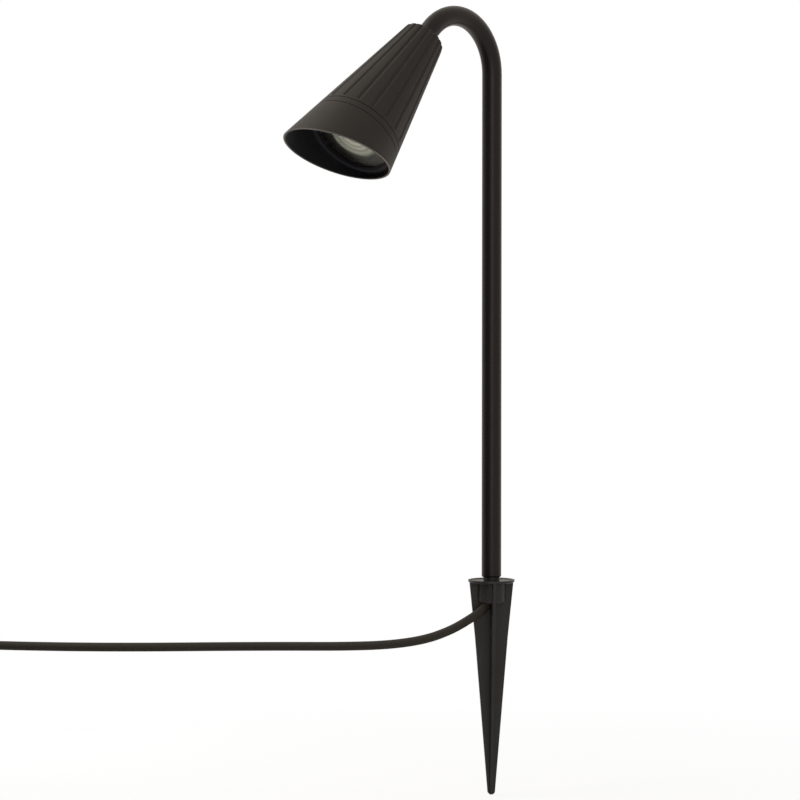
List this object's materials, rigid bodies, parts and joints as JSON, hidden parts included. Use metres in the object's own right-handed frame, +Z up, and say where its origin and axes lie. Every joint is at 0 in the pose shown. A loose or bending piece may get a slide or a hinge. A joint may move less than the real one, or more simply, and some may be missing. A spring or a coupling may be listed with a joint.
{
  "type": "garden spike light",
  "caption": "Garden spike light: a gooseneck post on a finned ground spike carries a fluted conical head with an oblique hood, and a rubber lead runs off along the soil.",
  "frame": {"origin": "on the post's axis at the soil line, the level on which the lead lies; the spike's tip is below it", "axes": "+Z up along the post; the gooseneck bends in the YZ plane and the head points towards -Y; the lead runs off towards -X and -Y"},
  "size_m": [0.4502, 0.3947, 0.6159],
  "materials": {
    "head_paint": "fine matt powder coat, near black",
    "tube_paint": "smooth satin powder coat, near black",
    "spike_plastic": "moulded, lightly grained, black",
    "lead_rubber": "dull, black",
    "black_rubber": "dull, black",
    "zinc_steel": "zinc plated",
    "ceramic": "glazed ceramic, off white",
    "lamp_metal": "satin",
    "lens_clear": "clear, stepped",
    "chip_phosphor": "matt",
    "contact_metal": "plain",
    "core_sleeve": "heat-proof sleeve",
    "ring_plastic": "matt black",
    "clear_glass": "clear, flat",
    "tie_plastic": "smooth black",
    "connector_plastic": "moulded black"
  },
  "bodies": {
    "spike": {"ground_spike": "spike_plastic", "lead_gland": "black_rubber", "supply_lead": "lead_rubber", "lead_coil": "lead_rubber", "coil_tie": "tie_plastic", "connector_gland": "connector_plastic", "connector_body": "connector_plastic", "connector_barrel": "connector_plastic", "connector_pins": "contact_metal"},
    "post": {"post_tube": "tube_paint", "inner_lead": "lead_rubber", "foot_plug": "tube_paint", "foot_nipple": "zinc_steel", "foot_washer": "zinc_steel", "foot_nut": "zinc_steel", "head_shell": "head_paint", "head_plug": "tube_paint", "head_nipple": "zinc_steel", "neck_seal": "black_rubber", "head_washer": "zinc_steel", "head_nut": "zinc_steel", "holder_bracket": "zinc_steel", "lamp_holder": "ceramic", "holder_screws": "zinc_steel", "lamp_body": "lamp_metal", "lamp_lens": "lens_clear", "lamp_chip": "chip_phosphor", "lamp_pins": "contact_metal", "core_wires": "core_sleeve", "lamp_ring": "ring_plastic", "front_gasket": "black_rubber", "front_glass": "clear_glass", "front_ring": "head_paint"},
    "hood": {"hood": "head_paint"}
  },
  "joints": [
    {"name": "post_swivel", "type": "hinge", "parent": "spike", "child": "post", "pos_m": [0, 0, 0.0542], "axis": [0, 0, 1], "range_deg": [-170, 170]},
    {"name": "hood_turn", "type": "hinge", "parent": "post", "child": "hood", "pos_m": [0, -0.08228, 0.47341], "axis": [0, -0.729, -0.6845], "range_deg": [-180, 180]}
  ]
}
